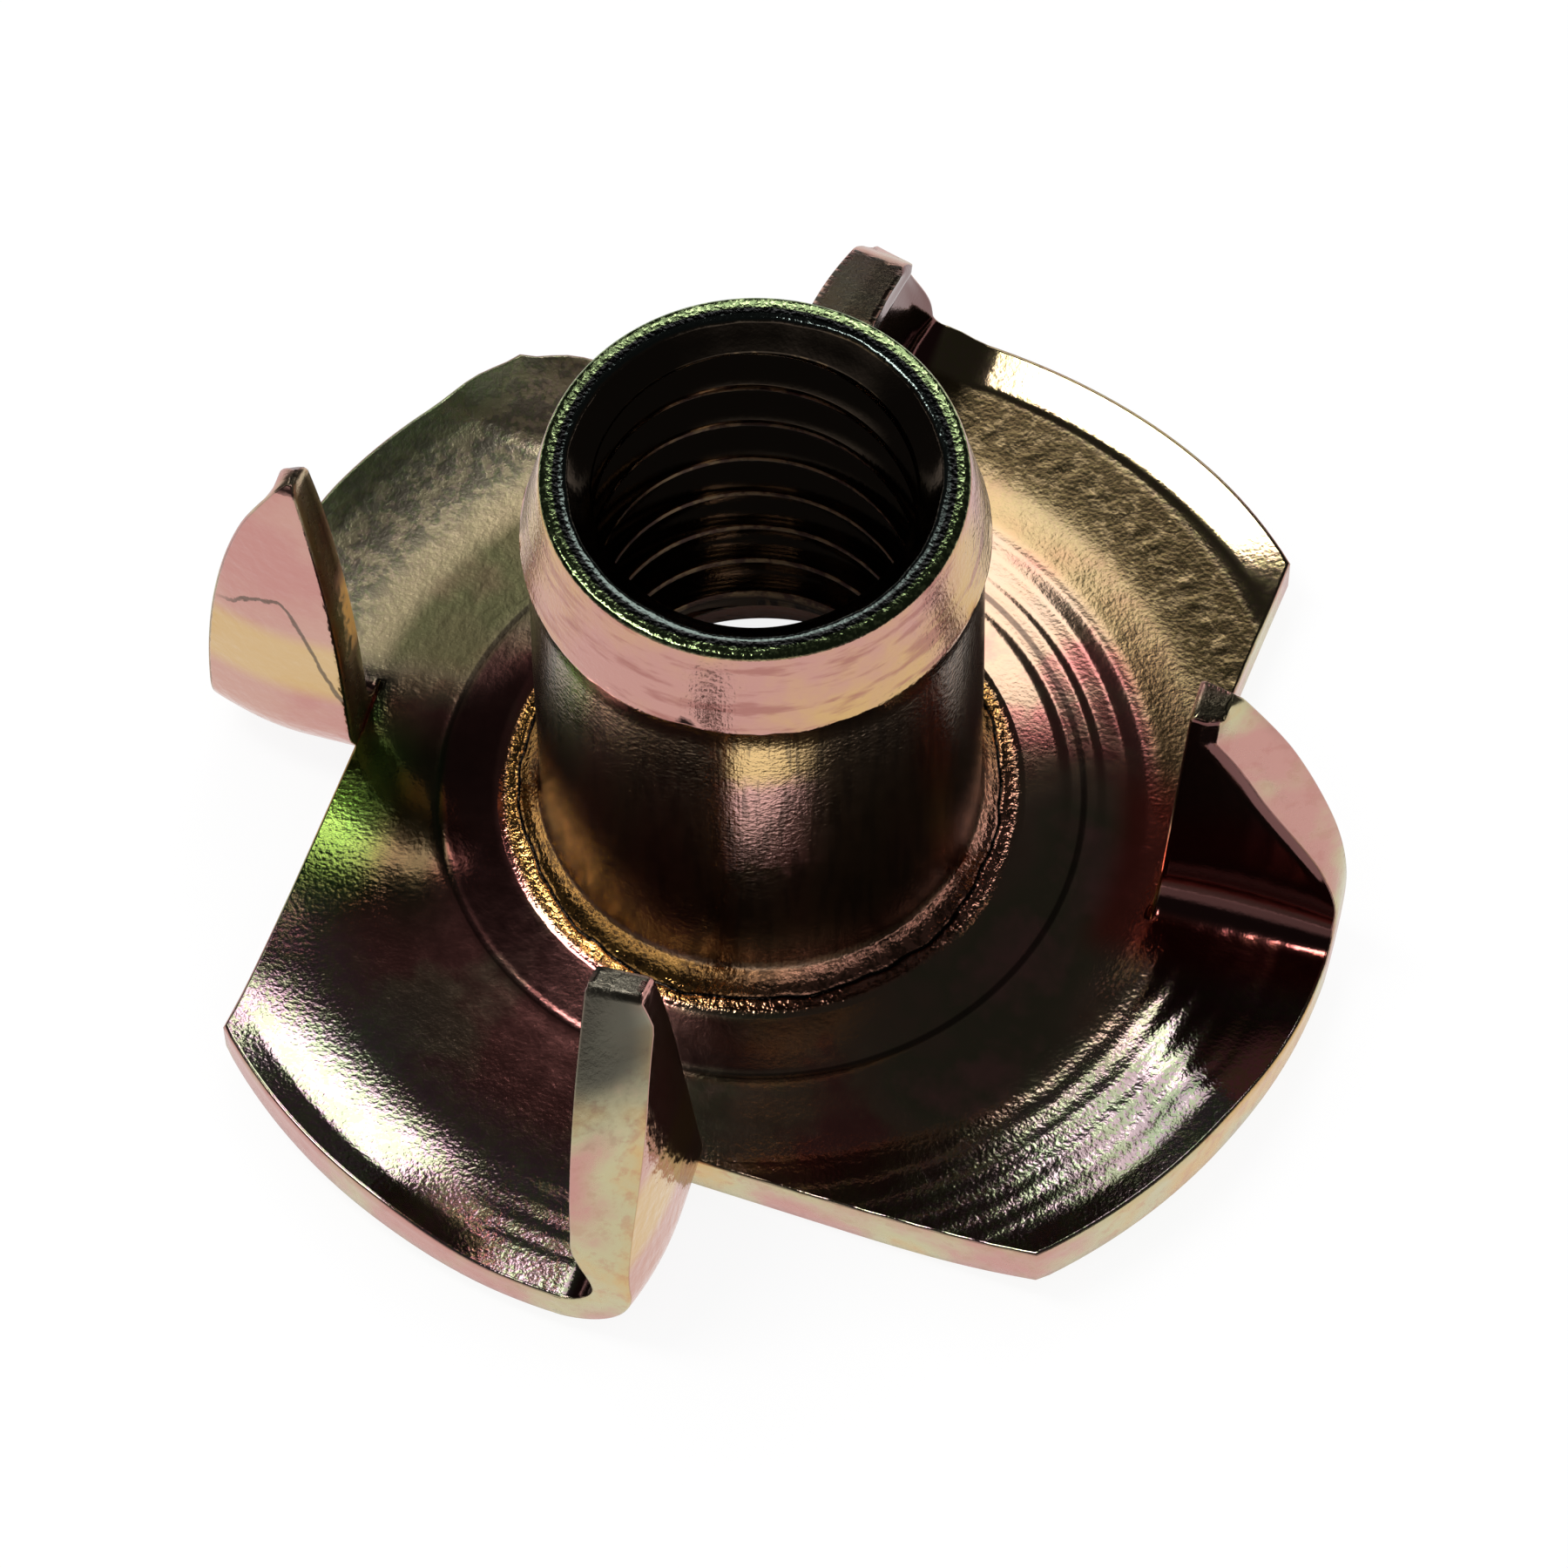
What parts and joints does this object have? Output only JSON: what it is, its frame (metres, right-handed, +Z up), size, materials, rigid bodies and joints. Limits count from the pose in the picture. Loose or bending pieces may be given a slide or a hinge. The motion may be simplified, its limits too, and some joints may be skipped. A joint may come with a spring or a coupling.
{
  "type": "tee nut",
  "caption": "Pronged tee nut: a threaded barrel on a round steel flange, with prongs that bite into wood and stop it turning.",
  "frame": {"origin": "centre of the flange's flat underside, on the barrel's axis", "axes": "+Z up the barrel, out of its open end; +X through the middle of the first prong"},
  "size_m": [0.0194, 0.0194, 0.0106],
  "materials": {
    "plated_steel": "pressed steel, zinc plated, with an iridescent yellow passivated film"
  },
  "bodies": {
    "root": {"tee_nut": "plated_steel"}
  },
  "joints": []
}
